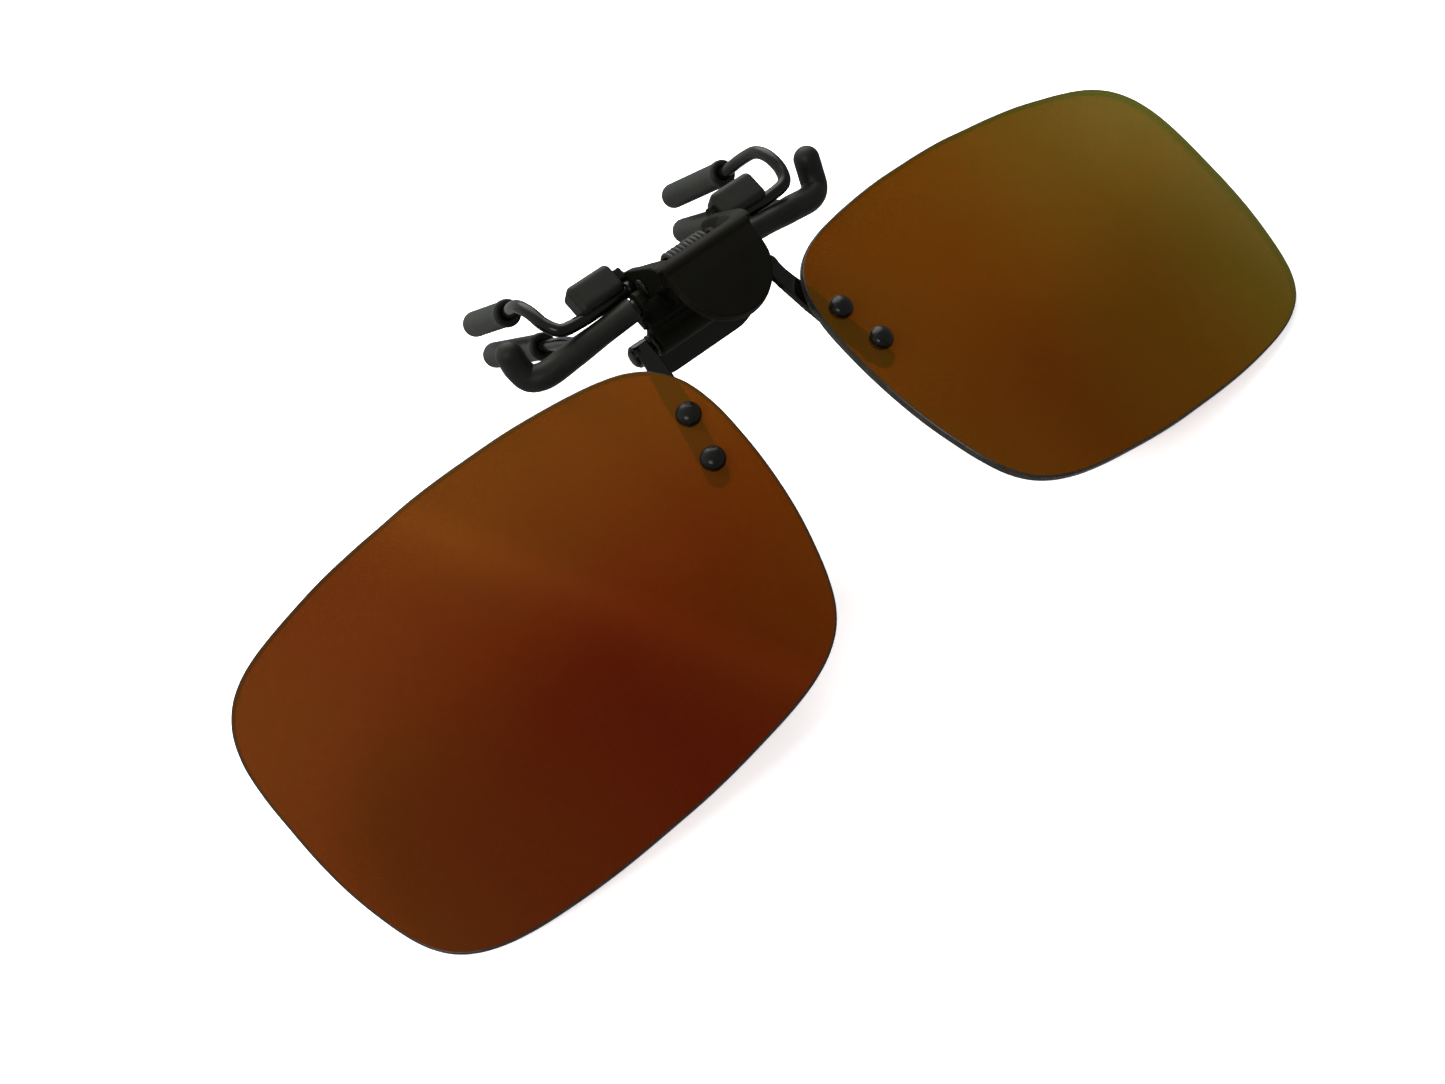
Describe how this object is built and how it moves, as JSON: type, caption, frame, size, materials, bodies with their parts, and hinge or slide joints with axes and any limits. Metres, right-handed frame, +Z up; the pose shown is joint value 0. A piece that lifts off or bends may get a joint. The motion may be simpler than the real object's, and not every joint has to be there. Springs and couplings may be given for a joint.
{
  "type": "clip on sunglasses",
  "caption": "Flip-up clip-on sunglasses: sprung bridge clamp with rubber covered prongs, and a pair of tinted lenses on a flip hinge, shown with the lenses raised.",
  "frame": {"origin": "middle of the bounding box, on the surface that the object stands on", "axes": "+X across from one lens to the other, +Y from the lenses towards the clamp prongs, +Z up; the lenses are raised and the object stands on two lens corners and the two front prong tips"},
  "size_m": [0.1332, 0.0652, 0.0276],
  "materials": {
    "lens_tint": "dark amber tint with a mirror gloss front",
    "satin_metal": "satin black paint",
    "gloss_metal": "gloss black plating",
    "rivet_metal": "gloss black domed head",
    "rubber": "soft matte moulded rubber",
    "bare_steel": "drawn steel",
    "washer_plastic": "dark nylon"
  },
  "bodies": {
    "base": {"finger_plate": "satin_metal", "clamp_pin": "bare_steel", "clamp_spring": "bare_steel", "front_arm_cover_left": "rubber", "front_arm_cover_right": "rubber", "front_arm_wire_left": "gloss_metal", "front_arm_wire_right": "gloss_metal", "front_prong_sleeve_left": "rubber", "front_prong_sleeve_right": "rubber", "friction_washer_left": "bare_steel", "friction_washer_right": "bare_steel"},
    "lever": {"thumb_lever": "satin_metal", "rear_wire_left": "gloss_metal", "rear_wire_right": "gloss_metal", "rear_prong_sleeve_left": "rubber", "rear_prong_sleeve_right": "rubber", "rest_pad_left": "rubber", "rest_pad_right": "rubber"},
    "lens_unit": {"flip_axle": "bare_steel", "lens_left": "lens_tint", "lens_right": "lens_tint", "lens_bracket_left": "gloss_metal", "lens_bracket_right": "gloss_metal", "rivet_upper_left": "rivet_metal", "rivet_upper_right": "rivet_metal", "rivet_lower_left": "rivet_metal", "rivet_lower_right": "rivet_metal", "lens_washer_upper_left": "washer_plastic", "lens_washer_upper_right": "washer_plastic", "lens_washer_lower_left": "washer_plastic", "lens_washer_lower_right": "washer_plastic"}
  },
  "joints": [
    {"name": "clamp_open", "type": "hinge", "parent": "base", "child": "lever", "pos_m": [0, 0.00894, 0.0232], "axis": [1, 0, 0], "range_deg": [0, 20], "stiffness_Nm_per_rad": 0.06, "springref_deg": -40.11},
    {"name": "lens_flip", "type": "hinge", "parent": "base", "child": "lens_unit", "pos_m": [0, 0.00675, 0.01653], "axis": [1, 0, 0], "range_deg": [0, 118]}
  ]
}
